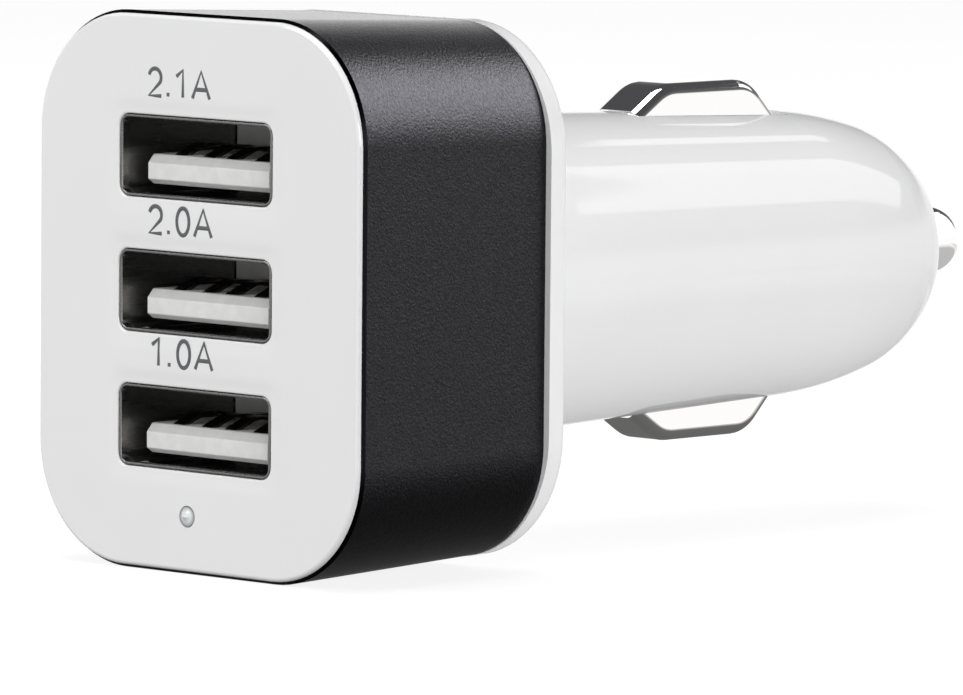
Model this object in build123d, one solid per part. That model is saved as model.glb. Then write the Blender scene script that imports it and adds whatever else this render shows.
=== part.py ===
"""Car charger plug with three ports, in millimetres.

The barrel's axis is +Y, towards the centre contact. The ports face -Y and stack along +Z.
The origin lies on the barrel's axis, at the rear face of the flange.
"""

import os
from build123d import *

# Head: white front cover, black sleeve and the flange behind it
FACE_W = 27.9
FACE_R = 7.4
FACE_MARGIN = 8.7
FACE_ROUND = 0.25
COVER_LAND = 0.05
COVER_PLATE = 2.2
SLEEVE_LENGTH = 16.1
SLEEVE_STEP = 0.2
SLEEVE_WALL = 1.45
SLEEVE_TAPER_W = 0.4
SLEEVE_TAPER_H = 0.6
SLEEVE_CHAMFER = 0.3
SKIRT_WALL = 1.1
FLANGE_STEP_W = 0.45
FLANGE_STEP_H = 0.05
FLANGE_R = 7.9
FLANGE_THICK = 1.8
FLANGE_ROUND = 0.9

# Barrel and nose
ROOT_R = 10.2
ROOT_LENGTH = 6.0
ROOT_FILLET = 0.4
BARREL_TAPER = 0.9
BARREL_WALL = 1.5
SHOULDER_Y = 32.5
NOSE_LENGTH = 13.1
NOSE_RIM = 0.65
NOSE_KNEE_L = 6.6
NOSE_KNEE_DROP = 0.9
NOSE_WALL = 4.1
BORE_OVERRUN = 2.5
CHAMBER_R = 4.3

# Ports: one shell, one insulator and four contacts each
PORT_X = -0.25
PORT_PITCH = 8.3
PORT_IN_W = 12.5
PORT_IN_H = 5.12
PORT_IN_R = 0.4
SHELL_LENGTH = 10.8
SHELL_WALL = 0.3
SHELL_LEG = 2.0
SHELL_EAR_SETBACK = 0.12
SHELL_SPRING_W = 1.8
SHELL_SPRING_L = 4.5
SHELL_SPRING_X = 3.2
SHELL_SPRING_SETBACK = 2.0
SHELL_SPRING_SLIT = 0.3
WINDOW_R = 0.85
WINDOW_SKIN = 0.5
WINDOW_ROUND = 0.1
TONGUE_T = 1.84
TONGUE_SIDE = 0.7
TONGUE_SETBACK = 1.2
TONGUE_NOSE = 0.7
TONGUE_END = 0.3
TONGUE_TOP_SLOPE = 0.5
TONGUE_LOW_SLOPE = 0.34
INSULATOR_BASE = 1.5
CONTACT_W = 1.0
CONTACT_T = 0.4
CONTACT_PROUD = 0.25
CONTACT_SETBACK = 0.8
CONTACT_IN_X = 1.0
CONTACT_OUT_X = 3.5
PIN_PROUD = 0.5

# Indicator: clear light pipe with a domed end, and the diode behind it
LENS_X = -0.7
LENS_R = 0.62
LENS_PROUD = 0.35
LENS_COLLAR_W = 2.2
LENS_COLLAR_T = 0.8
DIODE_W = 1.6
DIODE_H = 1.0
DIODE_T = 0.7

# Boards
BOARD_T = 1.2
BOARD_SETBACK = 1.0
BOARD_END_GAP = 2.5
TAB_W = 1.2
RAIL_START_Y = 2.0
RAIL_END_GAP = 1.0
RAIL_BITE = 0.9
RAIL_H = 1.8

# Components on the main board, each placed from the one before it
OUT_CAN_R = 3.15
OUT_CAN_L = 7.5
OUT_CAN_SETBACK = 1.2
IN_CAN_R = 3.15
IN_CAN_L = 8.0
CAN_GROOVE_Y = 1.2
CAN_GROOVE_W = 0.5
CAN_GROOVE_DEPTH = 0.3
INDUCTOR_W = 9.0
INDUCTOR_L = 9.0
INDUCTOR_H = 4.8
INDUCTOR_R = 1.2
CONVERTER_W = 4.0
CONVERTER_L = 5.0
CONVERTER_H = 1.5
DIODE_CASE_EDGE = 2.2
DIODE_CASE_W = 2.6
DIODE_CASE_L = 4.2
DIODE_CASE_H = 2.2
CHIP_W = 1.25
CHIP_L = 2.0
CHIP_H = 0.7
CHIP_PITCH = 3.0
COMPONENT_GAP = 2.5

# Ground contacts: formed channels that slide in slots at the top and bottom of the barrel
SHOE_W = 3.9
SHOE_WALL = 0.5
SHOE_LENGTH = 14.0
SHOE_OVERRUN = 0.5
SHOE_PROUD = 2.15
SHOE_RAMP_L = 2.6
SHOE_RAMP_H = 1.65
SHOE_FALL_L = 3.2
SHOE_FALL_H = 3.2
SHOE_FRONT_ROUND = 3.2
SHOE_REAR_ROUND = 3.0
SHOE_EDGE_ROUND = 0.75
FOOT_L = 1.2
STOP_DROP = 0.6
STOP_W = 6.0
STOP_L = 2.3

# Sprung fingers that push the ground contacts out
FINGER_W = 2.4
FINGER_T = 0.3
FINGER_START = 2.5
FINGER_FOOT_L = 4.4
FINGER_KNEE_Y = 5.3
FINGER_KNEE_Z = 5.4
FINGER_CREST_Y = 7.1
FINGER_FLAT = 1.2
FINGER_HOOK_L = 1.0
FINGER_HOOK_H = 1.2
FINGER_BEND = 0.6

# Centre contact with its coil spring and spring seat
TIP_R = 2.2
TIP_PROUD = 5.5
COLLAR_T = 1.2
GUIDE_R = 1.8
GUIDE_L = 2.8
SEAT_R = 4.1
SEAT_T = 1.0
SEAT_BOSS_L = 1.2
SEAT_BOSS_R = 1.7
JAW_W = 5.0
JAW_L = 2.5
JAW_T = 0.6
COIL_R = 3.0
COIL_WIRE = 0.55
COIL_TURNS = 6
WIRE_SIDES = 8

# Clearances
SLIP = 0.1
WINDOW_SLIP = 0.15
SHOE_SLIP = 0.15
PIN_SLIP = 0.05
LENS_GAP = 0.33
TIP_SLIP = 0.15
COLLAR_SLIP = 0.2
BOARD_SIDE_GAP = 0.3
CHIP_GAP = 0.15

# Head, from the outside in
FACE_H = 2 * (PORT_PITCH + FACE_MARGIN)
COVER_PROUD = COVER_LAND + FACE_ROUND
SLEEVE_W = FACE_W + 2 * SLEEVE_STEP
SLEEVE_H = FACE_H + 2 * SLEEVE_STEP
SLEEVE_R = FACE_R + SLEEVE_STEP
SLEEVE_REAR_W = SLEEVE_W - 2 * SLEEVE_TAPER_W
SLEEVE_REAR_H = SLEEVE_H - 2 * SLEEVE_TAPER_H
FLANGE_W = SLEEVE_REAR_W + 2 * FLANGE_STEP_W
FLANGE_H = SLEEVE_REAR_H + 2 * FLANGE_STEP_H
BORE_W = SLEEVE_W - 2 * SLEEVE_WALL
BORE_H = SLEEVE_H - 2 * SLEEVE_WALL
BORE_R = SLEEVE_R - SLEEVE_WALL
SKIRT_W = BORE_W - 2 * SLIP
SKIRT_H = BORE_H - 2 * SLIP
SKIRT_R = BORE_R - SLIP
SKIRT_IN_W = SKIRT_W - 2 * SKIRT_WALL
SKIRT_IN_H = SKIRT_H - 2 * SKIRT_WALL
SKIRT_IN_R = SKIRT_R - SKIRT_WALL
SHELL_W = PORT_IN_W + 2 * SHELL_WALL
SHELL_H = PORT_IN_H + 2 * SHELL_WALL
WINDOW_W = SHELL_W + 2 * WINDOW_SLIP
EAR_H = PORT_IN_H - 2 * WINDOW_R
TONGUE_W = PORT_IN_W - 2 * TONGUE_SIDE
PORT_Z = (PORT_PITCH, 0.0, -PORT_PITCH)
CONTACT_X = (-CONTACT_OUT_X, -CONTACT_IN_X, CONTACT_IN_X, CONTACT_OUT_X)
LENS_Z = -SKIRT_IN_H / 2 + LENS_GAP + LENS_R

# Head, from the flange forward
SLEEVE_REAR = -FLANGE_THICK
SLEEVE_FRONT = SLEEVE_REAR - SLEEVE_LENGTH
FACE_Y = SLEEVE_FRONT - COVER_PROUD
PLATE_BACK = FACE_Y + COVER_PLATE
SHELL_FRONT = FACE_Y + WINDOW_SKIN
EAR_Y = FACE_Y + SHELL_EAR_SETBACK
TONGUE_Y = FACE_Y + TONGUE_SETBACK
CONTACT_Y = TONGUE_Y + CONTACT_SETBACK
PORT_BOARD_Y = SHELL_FRONT + SHELL_LENGTH
PORT_BOARD_BACK = PORT_BOARD_Y + BOARD_T
PIN_END = PORT_BOARD_BACK + PIN_PROUD

# Barrel, from the root to the tip
SHOULDER_R = ROOT_R - BARREL_TAPER
BARREL_IN_R = SHOULDER_R - BARREL_WALL
TIP_HOLE_R = TIP_R + TIP_SLIP
NOSE_END_R = TIP_HOLE_R + NOSE_RIM
NOSE_END_Y = SHOULDER_Y + NOSE_LENGTH
BORE_END_Y = SHOULDER_Y + BORE_OVERRUN
CHAMBER_END_Y = NOSE_END_Y - NOSE_WALL
COLLAR_R = CHAMBER_R - COLLAR_SLIP
COLLAR_Y = CHAMBER_END_Y - COLLAR_T
TIP_END_Y = NOSE_END_Y + TIP_PROUD
SHOE_END_Y = SHOULDER_Y + SHOE_OVERRUN
SHOE_START_Y = SHOE_END_Y - SHOE_LENGTH
SHOE_TOP_Z = SHOULDER_R + SHOE_PROUD
STOP_Z = BARREL_IN_R - STOP_DROP

# Main board, from the port board back
BOARD_W = 2 * (BARREL_IN_R - BOARD_SIDE_GAP)
BOARD_START_Y = PORT_BOARD_BACK + BOARD_SETBACK
BOARD_END_Y = SHOULDER_Y - BOARD_END_GAP
SEAT_Y = BOARD_END_Y + SEAT_T
TAB_X = (CONTACT_OUT_X + CONTACT_W / 2 + PORT_IN_W / 2) / 2
RAIL_END_Y = BOARD_END_Y - RAIL_END_GAP
RAIL_IN_X = BOARD_W / 2 - RAIL_BITE
OUT_CAN_Y = BOARD_START_Y + OUT_CAN_SETBACK
INDUCTOR_Y = OUT_CAN_Y + OUT_CAN_L + COMPONENT_GAP
CONVERTER_Y = BOARD_START_Y + DIODE_CASE_L
IN_CAN_Y = CONVERTER_Y + CONVERTER_L + COMPONENT_GAP
CHIP_X = RAIL_IN_X - CHIP_GAP - CHIP_W / 2
DIODE_CASE_X = BOARD_W / 2 - DIODE_CASE_EDGE - DIODE_CASE_W / 2


def outline(width, height, radius, y, x=0.0, z=0.0):
    """A rounded rectangle standing across the barrel's axis."""
    plane = Plane(origin=(x, y, z), x_dir=(1, 0, 0), z_dir=(0, -1, 0))
    return plane * RectangleRounded(width, height, radius)


def slab(width, height, radius, y0, y1, x=0.0, z=0.0):
    """A rounded rectangle drawn out from y0 to y1."""
    return extrude(outline(width, height, radius, y1, x, z), y1 - y0)


def block(x0, x1, y0, y1, z0, z1):
    """A plain box between two corners."""
    middle = ((x0 + x1) / 2, (y0 + y1) / 2, (z0 + z1) / 2)
    return Pos(*middle) * Box(abs(x1 - x0), abs(y1 - y0), abs(z1 - z0))


def rod(radius, y0, y1, x=0.0, z=0.0):
    """A round bar along the barrel's axis."""
    return Pos(x, (y0 + y1) / 2, z) * Rot(90, 0, 0) * Cylinder(radius, y1 - y0)


def make_sleeve():
    """The black tube, narrower at its rear end, with a bevelled front edge."""
    bevel = SLEEVE_CHAMFER
    tube = loft(
        [
            outline(SLEEVE_W - 2 * bevel, SLEEVE_H - 2 * bevel, SLEEVE_R - bevel, SLEEVE_FRONT),
            outline(SLEEVE_W, SLEEVE_H, SLEEVE_R, SLEEVE_FRONT + bevel),
            outline(SLEEVE_REAR_W, SLEEVE_REAR_H, SLEEVE_R, SLEEVE_REAR),
        ],
        ruled=True,
    )
    return tube - slab(BORE_W, BORE_H, BORE_R, SLEEVE_FRONT, SLEEVE_REAR)


def make_cover():
    """The white plate with three windows, its lip over the sleeve and its skirt inside it."""
    lip = slab(FACE_W, FACE_H, FACE_R, FACE_Y, SLEEVE_FRONT)
    lip = fillet(lip.faces().sort_by(Axis.Y)[0].edges(), FACE_ROUND)
    cover = lip + slab(SKIRT_W, SKIRT_H, SKIRT_R, SLEEVE_FRONT, PORT_BOARD_Y)
    cover -= slab(SKIRT_IN_W, SKIRT_IN_H, SKIRT_IN_R, PLATE_BACK, PORT_BOARD_Y)
    pocket_h = SHELL_H + 2 * SLIP
    for z in PORT_Z:
        cover -= slab(WINDOW_W, PORT_IN_H, WINDOW_R, FACE_Y, SHELL_FRONT, PORT_X, z)
        cover -= slab(WINDOW_W, pocket_h, WINDOW_R, SHELL_FRONT, PLATE_BACK, PORT_X, z)
    front = cover.faces().filter_by(Plane.XZ).sort_by(Axis.Y)[0]
    cover = fillet([edge for wire in front.inner_wires() for edge in wire.edges()], WINDOW_ROUND)
    return cover - rod(LENS_R + PIN_SLIP, FACE_Y, PLATE_BACK, LENS_X, LENS_Z)


def make_barrel():
    """The tapering barrel and its bullet nose, still solid."""
    shoulder = Vector(SHOULDER_R, SHOULDER_Y)
    knee = shoulder + Vector(-NOSE_KNEE_DROP, NOSE_KNEE_L)
    end = Vector(NOSE_END_R, NOSE_END_Y)
    root = Polyline((0, -FLANGE_THICK), (ROOT_R, -FLANGE_THICK), (ROOT_R, ROOT_LENGTH))
    taper = Line((ROOT_R, ROOT_LENGTH), shoulder)
    cheek = TangentArc(shoulder, knee, tangent=taper % 1)
    nose = TangentArc(knee, end, tangent=cheek % 1)
    close = Polyline(end, (0, NOSE_END_Y), (0, -FLANGE_THICK))
    return revolve(make_face(Curve() + [root, taper, cheek, nose, close]), Axis.Y)


def make_bore():
    """The hollow of the barrel: bore, spring chamber and hole for the centre contact."""
    wide = ROOT_R - BARREL_WALL
    points = (
        (0, -FLANGE_THICK),
        (wide, -FLANGE_THICK),
        (wide, ROOT_LENGTH),
        (BARREL_IN_R, SHOULDER_Y),
        (BARREL_IN_R, BORE_END_Y),
        (CHAMBER_R, BORE_END_Y),
        (CHAMBER_R, CHAMBER_END_Y),
        (TIP_HOLE_R, CHAMBER_END_Y),
        (TIP_HOLE_R, NOSE_END_Y),
        (0, NOSE_END_Y),
    )
    return revolve(make_face(Polyline(*points, close=True)), Axis.Y)


def is_root(edge):
    """Whether an edge is the circle where the barrel leaves the flange."""
    return abs(edge.center().Y) < 1e-6 and abs(edge.radius - ROOT_R) < 1e-6


def make_housing():
    """Flange, skirt and hollow barrel in one piece, with rails, stops and contact slots."""
    flange = slab(FLANGE_W, FLANGE_H, FLANGE_R, -FLANGE_THICK, 0)
    flange = fillet(flange.faces().sort_by(Axis.Y)[-1].edges(), FLANGE_ROUND)
    barrel = make_barrel()
    housing = flange + barrel
    housing = fillet(housing.edges().filter_by(GeomType.CIRCLE).filter_by(is_root), ROOT_FILLET)
    skirt = slab(SKIRT_W, SKIRT_H, SKIRT_R, PORT_BOARD_BACK, -FLANGE_THICK)
    skirt -= slab(SKIRT_IN_W, SKIRT_IN_H, SKIRT_IN_R, PORT_BOARD_BACK, -FLANGE_THICK)
    housing = housing + skirt - make_bore()
    groove_x = BOARD_W / 2 + PIN_SLIP
    groove_z = BOARD_T / 2 + PIN_SLIP
    first = SHOE_START_Y - SHOE_SLIP
    last = SHOE_END_Y + SHOE_SLIP
    half = STOP_W / 2
    gap = SHOE_W / 2 + SHOE_SLIP
    for side in (-1, 1):
        rail = block(side * RAIL_IN_X, side * ROOT_R, RAIL_START_Y, RAIL_END_Y, -RAIL_H, RAIL_H)
        groove = block(0, side * groove_x, RAIL_START_Y, RAIL_END_Y, -groove_z, groove_z)
        housing += (rail & barrel) - groove
        for y in (first - STOP_L, last):
            housing += block(-half, half, y, y + STOP_L, side * STOP_Z, side * ROOT_R) & barrel
        housing -= block(-gap, gap, first, last, 0, side * SHOE_TOP_Z)
    return housing


def make_shell(z):
    """The metal mouth of a port: a tube with sprung tongues, ears in the window and board legs."""
    tube = slab(SHELL_W, SHELL_H, PORT_IN_R + SHELL_WALL, SHELL_FRONT, PORT_BOARD_Y, PORT_X, z)
    tube -= slab(PORT_IN_W, PORT_IN_H, PORT_IN_R, SHELL_FRONT, PORT_BOARD_Y, PORT_X, z)
    y0 = SHELL_FRONT + SHELL_SPRING_SETBACK
    y1 = y0 + SHELL_SPRING_L
    half = SHELL_SPRING_W / 2
    inner = half - SHELL_SPRING_SLIT
    low, high = z - SHELL_H / 2, z + SHELL_H / 2
    for side in (-1, 1):
        x = PORT_X + side * SHELL_SPRING_X
        cut = block(x - half, x + half, y0, y1, low, high)
        tube -= cut - block(x - inner, x + inner, y0 + SHELL_SPRING_SLIT, y1, low, high)
        wall = (PORT_X + side * PORT_IN_W / 2, PORT_X + side * SHELL_W / 2)
        tube += block(*wall, PORT_BOARD_Y, PIN_END, z - SHELL_LEG / 2, z + SHELL_LEG / 2)
        tube += block(*wall, EAR_Y, SHELL_FRONT, z - EAR_H / 2, z + EAR_H / 2)
    return tube


def contact_bar(x, z, y0, y1):
    """One flat contact, lying in the top of the tongue."""
    low = z + CONTACT_PROUD - CONTACT_T
    half = CONTACT_W / 2
    return block(PORT_X + x - half, PORT_X + x + half, y0, y1, low, z + CONTACT_PROUD)


def make_contacts(z):
    """The four contacts of a port, with their ends through the board."""
    return Compound(children=[contact_bar(x, z, CONTACT_Y, PIN_END) for x in CONTACT_X])


def make_insulator(z):
    """The white block of a port: base, tongue with a bevelled nose, and contact grooves."""
    base_y = PORT_BOARD_Y - INSULATOR_BASE
    full_y = TONGUE_Y + TONGUE_NOSE
    half = TONGUE_W / 2
    body = slab(PORT_IN_W, PORT_IN_H, PORT_IN_R, base_y, PORT_BOARD_Y, PORT_X, z)
    body += block(PORT_X - half, PORT_X + half, full_y, base_y, z - TONGUE_T, z)
    tip_h = TONGUE_T - TONGUE_TOP_SLOPE - TONGUE_LOW_SLOPE
    tip_at = (PORT_X, TONGUE_Y, z - TONGUE_TOP_SLOPE - tip_h / 2)
    full_at = (PORT_X, full_y, z - TONGUE_T / 2)
    tip = Plane(tip_at, x_dir=(1, 0, 0), z_dir=(0, -1, 0)) * Rectangle(TONGUE_W - 2 * TONGUE_END, tip_h)
    full = Plane(full_at, x_dir=(1, 0, 0), z_dir=(0, -1, 0)) * Rectangle(TONGUE_W, TONGUE_T)
    body += loft([tip, full])
    for x in CONTACT_X:
        body -= contact_bar(x, z, CONTACT_Y, PORT_BOARD_Y)
    return body


def make_port_board():
    """The board across the head, with holes for the ports' legs and pins and the main board."""
    faces = (PORT_BOARD_Y, PORT_BOARD_BACK)
    board = slab(SKIRT_W, SKIRT_H, SKIRT_R, *faces)
    for z in PORT_Z:
        for side in (-1, 1):
            x = PORT_X + side * (PORT_IN_W + SHELL_WALL) / 2
            half = SHELL_WALL / 2 + PIN_SLIP
            tall = SHELL_LEG / 2 + PIN_SLIP
            board -= block(x - half, x + half, *faces, z - tall, z + tall)
        for x in CONTACT_X:
            board -= contact_bar(x, z, *faces)
    for x in (PORT_X - TAB_X, PORT_X + TAB_X):
        half = TAB_W / 2 + PIN_SLIP
        tall = BOARD_T / 2 + PIN_SLIP
        board -= block(x - half, x + half, *faces, -tall, tall)
    return board


def make_main_board():
    """The board along the barrel, with two tabs through the port board."""
    half = BOARD_W / 2
    tall = BOARD_T / 2
    board = block(-half, half, BOARD_START_Y, BOARD_END_Y, -tall, tall)
    for x in (PORT_X - TAB_X, PORT_X + TAB_X):
        board += block(x - TAB_W / 2, x + TAB_W / 2, PORT_BOARD_Y, BOARD_START_Y, -tall, tall)
    return board


def make_lens():
    """Clear light pipe: domed end in the cover, collar behind the plate, tail to the diode."""
    tail = PORT_BOARD_Y - DIODE_T
    crown = FACE_Y - LENS_PROUD
    dome = RadiusArc((0, crown), (LENS_R, FACE_Y), (LENS_R**2 + LENS_PROUD**2) / (2 * LENS_PROUD))
    sides = Polyline((LENS_R, FACE_Y), (LENS_R, tail), (0, tail), (0, crown))
    lens = Pos(LENS_X, 0, LENS_Z) * revolve(make_face(Curve() + [dome, sides]), Axis.Y)
    half = LENS_COLLAR_W / 2
    collar = (PLATE_BACK, PLATE_BACK + LENS_COLLAR_T)
    return lens + block(LENS_X - half, LENS_X + half, *collar, LENS_Z - LENS_R, LENS_Z + LENS_R)


def make_indicator_diode():
    """The diode on the port board, under the light pipe's tail."""
    half = DIODE_W / 2
    tall = DIODE_H / 2
    depth = (PORT_BOARD_Y - DIODE_T, PORT_BOARD_Y)
    return block(LENS_X - half, LENS_X + half, *depth, LENS_Z - tall, LENS_Z + tall)


def shoe_side(bottom):
    """The side outline of a ground contact, down to the given height."""
    points = (
        (SHOE_START_Y, bottom),
        (SHOE_START_Y, SHOE_TOP_Z - SHOE_RAMP_H),
        (SHOE_START_Y + SHOE_RAMP_L, SHOE_TOP_Z),
        (SHOE_END_Y - SHOE_FALL_L, SHOE_TOP_Z),
        (SHOE_END_Y, SHOE_TOP_Z - SHOE_FALL_H),
        (SHOE_END_Y, bottom),
    )
    return make_face(Polyline(*points, close=True))


def is_rim(edge):
    """Whether an edge of a ground contact runs lengthwise, not across it or upright."""
    return abs(edge.tangent_at(0.5).Y) > 0.1


def make_shoe():
    """The upper ground contact: a formed channel with a foot at each end."""
    half = SHOE_W / 2
    bottom = STOP_Z - SHOE_WALL
    shoe = extrude(Plane.YZ * shoe_side(bottom), half, both=True)
    ridges = shoe.edges().filter_by(Axis.X).group_by(Axis.Z)[-1].sort_by(Axis.Y)
    shoe = fillet(ridges[0], SHOE_FRONT_ROUND)
    ridges = shoe.edges().filter_by(Axis.X)
    crest_end = SHOE_END_Y - SHOE_FALL_L
    shoe = fillet(ridges.filter_by(lambda edge: abs(edge.center().Y - crest_end) < 1e-6), SHOE_REAR_ROUND)
    upper = shoe.edges().filter_by(lambda edge: edge.center().Z > STOP_Z)
    shoe = fillet(upper.filter_by(is_rim), SHOE_EDGE_ROUND)
    hollow = offset(shoe_side(bottom - 2 * SHOE_WALL), -SHOE_WALL, kind=Kind.INTERSECTION)
    shoe -= extrude(Plane.YZ * hollow, half - SHOE_WALL, both=True)
    shoe += block(-half, half, SHOE_START_Y - FOOT_L, SHOE_START_Y + SHOE_WALL, bottom, STOP_Z)
    return shoe + block(-half, half, SHOE_END_Y - SHOE_WALL, SHOE_END_Y + FOOT_L, bottom, STOP_Z)


def make_finger():
    """The sprung finger under the upper ground contact, standing on the main board."""
    foot = (BOARD_T + FINGER_T) / 2
    crest = SHOE_TOP_Z - SHOE_WALL - FINGER_T / 2
    start = SHOE_START_Y + FINGER_START
    crest_y = SHOE_START_Y + FINGER_CREST_Y
    path = FilletPolyline(
        (start, foot),
        (start + FINGER_FOOT_L, foot),
        (SHOE_START_Y + FINGER_KNEE_Y, FINGER_KNEE_Z),
        (crest_y, crest),
        (crest_y + FINGER_FLAT, crest),
        (crest_y + FINGER_FLAT + FINGER_HOOK_L, crest - FINGER_HOOK_H),
        radius=FINGER_BEND,
    )
    return extrude(Plane.YZ * trace(path, FINGER_T), FINGER_W / 2, both=True)


def make_tip():
    """The plunger of the centre contact: round nose, collar inside the barrel, spring guide."""
    dome_y = TIP_END_Y - TIP_R
    tip = rod(TIP_R, CHAMBER_END_Y, dome_y) + Pos(0, dome_y, 0) * Sphere(TIP_R)
    tip += rod(COLLAR_R, COLLAR_Y, CHAMBER_END_Y)
    return tip + rod(GUIDE_R, COLLAR_Y - GUIDE_L, COLLAR_Y)


def make_coil():
    """The coil spring between the seat and the plunger's collar, its wire drawn with eight flats."""
    half = COIL_WIRE / 2
    height = COLLAR_Y - SEAT_Y - COIL_WIRE
    foot = (0, SEAT_Y + half, 0)
    path = Helix(height / COIL_TURNS, height, COIL_R, center=foot, direction=(0, 1, 0))
    start = Plane(origin=path @ 0, z_dir=path % 0)
    return sweep(start * RegularPolygon(half, WIRE_SIDES), path=path, is_frenet=True)


def make_seat():
    """The spring seat: a disc with a boss, and two jaws gripping the end of the main board."""
    seat = rod(SEAT_R, BOARD_END_Y, SEAT_Y) + rod(SEAT_BOSS_R, SEAT_Y, SEAT_Y + SEAT_BOSS_L)
    half = BOARD_T / 2
    for low in (half, -half - JAW_T):
        seat += block(-JAW_W / 2, JAW_W / 2, BOARD_END_Y - JAW_L, BOARD_END_Y, low, low + JAW_T)
    return seat


def make_can(radius, length, y, side):
    """A can capacitor with its crimped groove, lying on one side of the main board."""
    z = side * (BOARD_T / 2 + radius)
    ring = (y + CAN_GROOVE_Y, y + CAN_GROOVE_Y + CAN_GROOVE_W, 0, z)
    groove = rod(2 * radius, *ring) - rod(radius - CAN_GROOVE_DEPTH, *ring)
    return rod(radius, y, y + length, 0, z) - groove


def on_board(width, y, length, height, side, x=0.0):
    """A flat-bottomed component on one side of the main board."""
    base = side * BOARD_T / 2
    return block(x - width / 2, x + width / 2, y, y + length, base, base + side * height)


def make_inductor():
    """The power inductor, a square ferrite block with rounded corners."""
    inductor = on_board(INDUCTOR_W, INDUCTOR_Y, INDUCTOR_L, INDUCTOR_H, 1)
    return fillet(inductor.edges().filter_by(Axis.Z), INDUCTOR_R)


def make_chips():
    """Small resistors and capacitors in a row along each edge of the main board."""
    rows = [OUT_CAN_Y + CHIP_PITCH, OUT_CAN_Y + 2 * CHIP_PITCH]
    chips = [on_board(CHIP_W, y, CHIP_L, CHIP_H, 1, x) for x in (-CHIP_X, CHIP_X) for y in rows]
    return Compound(children=chips)


nodes = {
    "front_cover": make_cover(),
    "head_sleeve": make_sleeve(),
    "rear_housing": make_housing(),
    "indicator_lens": make_lens(),
    "indicator_diode": make_indicator_diode(),
    "port_board": make_port_board(),
    "main_board": make_main_board(),
    "power_inductor": make_inductor(),
    "input_capacitor": make_can(IN_CAN_R, IN_CAN_L, IN_CAN_Y, -1),
    "output_capacitor": make_can(OUT_CAN_R, OUT_CAN_L, OUT_CAN_Y, 1),
    "converter_chip": on_board(CONVERTER_W, CONVERTER_Y, CONVERTER_L, CONVERTER_H, -1),
    "rectifier_diode": on_board(
        DIODE_CASE_W, BOARD_START_Y, DIODE_CASE_L, DIODE_CASE_H, -1, DIODE_CASE_X
    ),
    "chip_parts": make_chips(),
    "upper_ground_contact": make_shoe(),
    "lower_ground_contact": mirror(make_shoe(), about=Plane.XY),
    "upper_ground_spring": make_finger(),
    "lower_ground_spring": mirror(make_finger(), about=Plane.XY),
    "centre_contact": make_tip(),
    "centre_spring": make_coil(),
    "spring_seat": make_seat(),
}
for number, z in enumerate(PORT_Z, start=1):
    nodes[f"port_{number}_shell"] = make_shell(z)
    nodes[f"port_{number}_insulator"] = make_insulator(z)
    nodes[f"port_{number}_contacts"] = make_contacts(z)

os.makedirs("parts", exist_ok=True)
for name, shape in nodes.items():
    export_step(shape, f"parts/{name}.step")
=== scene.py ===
"""Car charger plug with three ports: the looks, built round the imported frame.

The frame is in metres. The barrel's axis is +Y, the ports face -Y and stack along +Z.
"""

import math

import bmesh
import bpy
from bpy.props import FloatProperty, IntProperty, PointerProperty, StringProperty
from mathutils import Matrix, Vector


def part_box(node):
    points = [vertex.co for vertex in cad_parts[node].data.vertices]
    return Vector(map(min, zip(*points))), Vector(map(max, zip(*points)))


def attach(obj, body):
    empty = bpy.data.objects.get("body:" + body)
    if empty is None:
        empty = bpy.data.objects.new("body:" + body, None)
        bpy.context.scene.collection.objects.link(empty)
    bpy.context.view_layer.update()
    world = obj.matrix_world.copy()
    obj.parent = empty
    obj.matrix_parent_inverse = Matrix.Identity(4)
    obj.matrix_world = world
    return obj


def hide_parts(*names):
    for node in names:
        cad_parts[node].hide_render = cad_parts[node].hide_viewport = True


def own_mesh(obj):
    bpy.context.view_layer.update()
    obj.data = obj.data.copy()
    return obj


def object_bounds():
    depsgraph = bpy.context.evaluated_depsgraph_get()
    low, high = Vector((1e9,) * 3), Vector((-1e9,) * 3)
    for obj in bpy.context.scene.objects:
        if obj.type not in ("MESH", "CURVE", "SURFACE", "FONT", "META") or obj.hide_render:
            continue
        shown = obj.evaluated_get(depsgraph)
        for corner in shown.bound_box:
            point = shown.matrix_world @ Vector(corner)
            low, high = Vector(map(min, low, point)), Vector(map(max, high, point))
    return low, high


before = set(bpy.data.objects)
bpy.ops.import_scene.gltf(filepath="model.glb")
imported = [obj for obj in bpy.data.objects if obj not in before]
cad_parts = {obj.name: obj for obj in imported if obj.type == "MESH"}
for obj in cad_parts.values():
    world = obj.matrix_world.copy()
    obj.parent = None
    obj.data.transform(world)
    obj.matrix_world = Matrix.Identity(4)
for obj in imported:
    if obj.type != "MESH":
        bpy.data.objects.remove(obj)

bl_info = {
    "name": "Car Charger Plug",
    "version": (1, 0, 0),
    "blender": (4, 5, 0),
    "location": "3D View > Sidebar > Charger",
    "description": "Models and finishes a car charger plug with three ports, piece by piece",
    "category": "Object",
}

CAD_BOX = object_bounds()
MM = 0.001
HAIR = 0.005 * MM  # two places this near count as one
X, Y = 0, 1
PORTS = (1, 2, 3)
ROUND_STEPS = 4  # in the rounding of a window's edge
DISH_STEPS = 8  # across the soft dish round a window
FLOOR_SIZE = 12  # metres


def arc(x, z, wide, tall, first, last, count):
    """Points along part of an ellipse, its angles in degrees."""
    turns = [math.radians(first + (last - first) * k / count) for k in range(count + 1)]
    return [(x + wide * math.cos(t), z + tall * math.sin(t)) for t in turns]


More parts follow.
